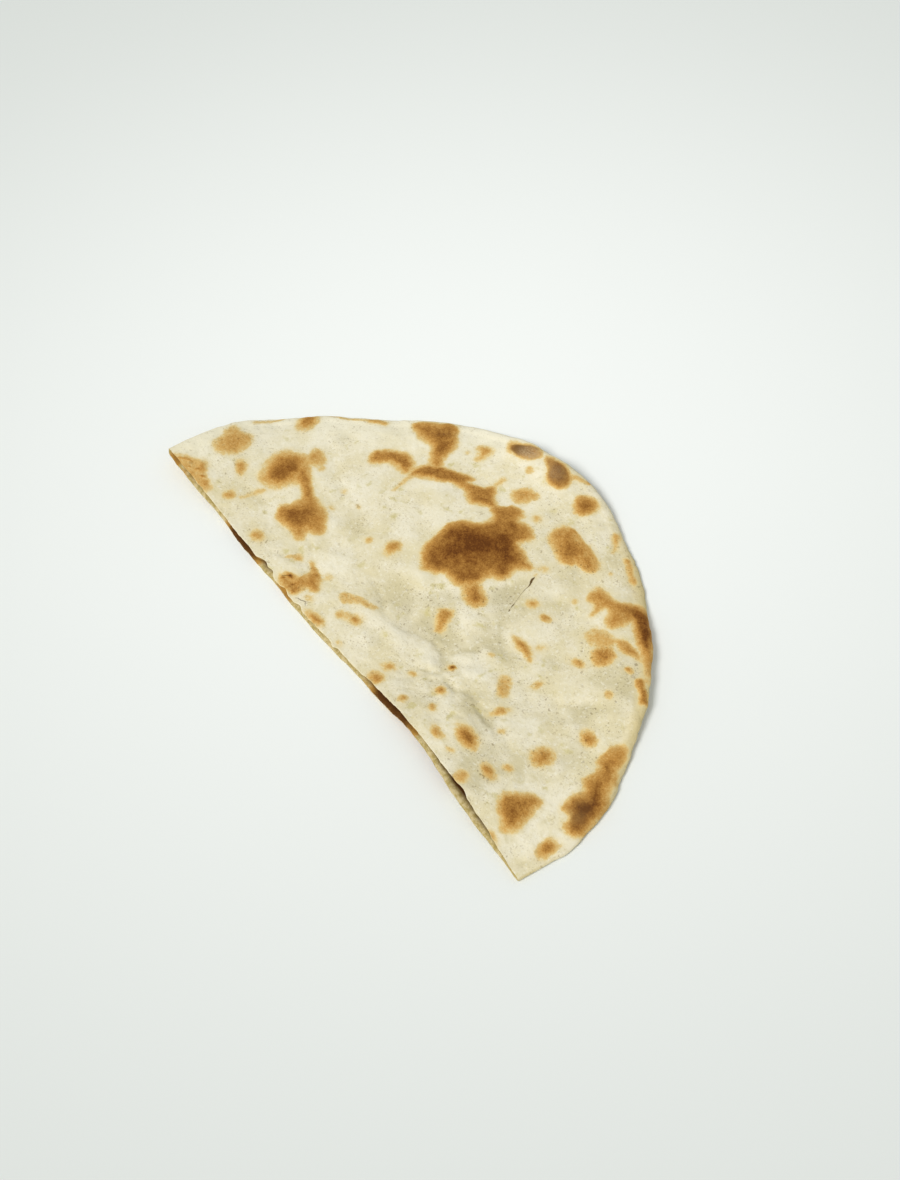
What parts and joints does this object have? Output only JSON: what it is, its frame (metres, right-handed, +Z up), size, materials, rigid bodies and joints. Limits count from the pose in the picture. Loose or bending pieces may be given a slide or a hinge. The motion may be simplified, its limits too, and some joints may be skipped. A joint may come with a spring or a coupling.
{
  "type": "half tandoori roti",
  "caption": "Half of a round tandoori flatbread cut across the middle, thin and gently wavy, with blisters along the baked rim and two parted skins at the cut.",
  "frame": {"origin": "on the surface that the bread lies on, under the middle of its box", "axes": "+X along the knife cut, +Y from the cut towards the baked rim, +Z up through the browned side"},
  "size_m": [0.2384, 0.1258, 0.0083],
  "materials": {
    "crust": "matt baked crust, cream with brown scorch marks"
  },
  "bodies": {
    "root": {"roti_half": "crust"}
  },
  "joints": []
}
